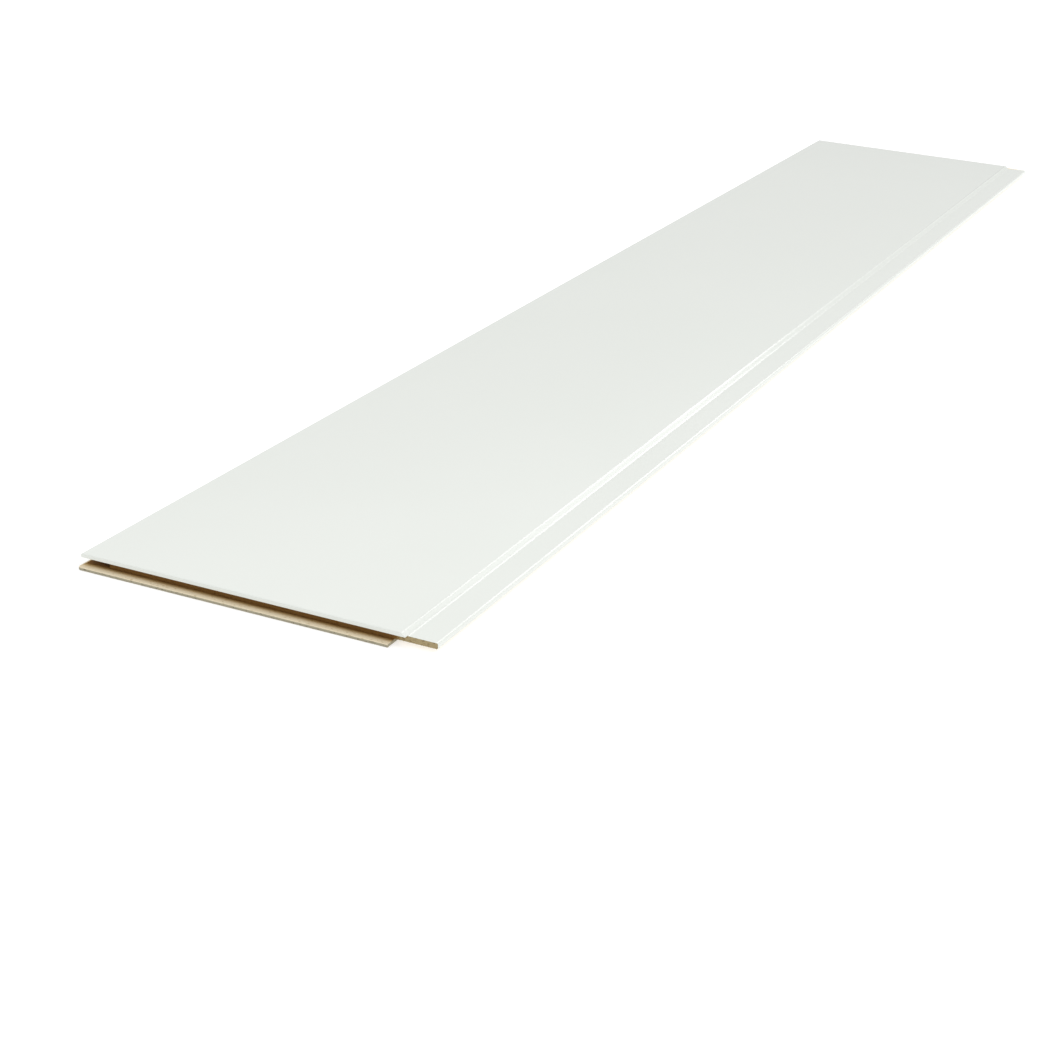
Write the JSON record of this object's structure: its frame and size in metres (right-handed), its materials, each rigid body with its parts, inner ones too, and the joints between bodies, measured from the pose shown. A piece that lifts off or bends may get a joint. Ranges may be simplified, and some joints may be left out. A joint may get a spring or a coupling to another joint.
{
  "type": "wall panel",
  "caption": "Flat white foil-faced MDF wall panel with a moulded edge and a wide tongue on one long side, grooves that take the next panel, and a short tongue on the far end.",
  "frame": {"origin": "middle of the panel's bounding box, on the back face that it lies on", "axes": "+X across the width towards the tongued long side, +Y along the length from the grooved end to the tongued end, +Z from the back to the white face"},
  "size_m": [0.22, 1.3074, 0.008],
  "materials": {
    "foil_faced_mdf": "white satin foil wrapped over bare tan MDF, which shows in the grooves and on the cut ends"
  },
  "bodies": {
    "root": {"wall_panel": "foil_faced_mdf"}
  },
  "joints": []
}
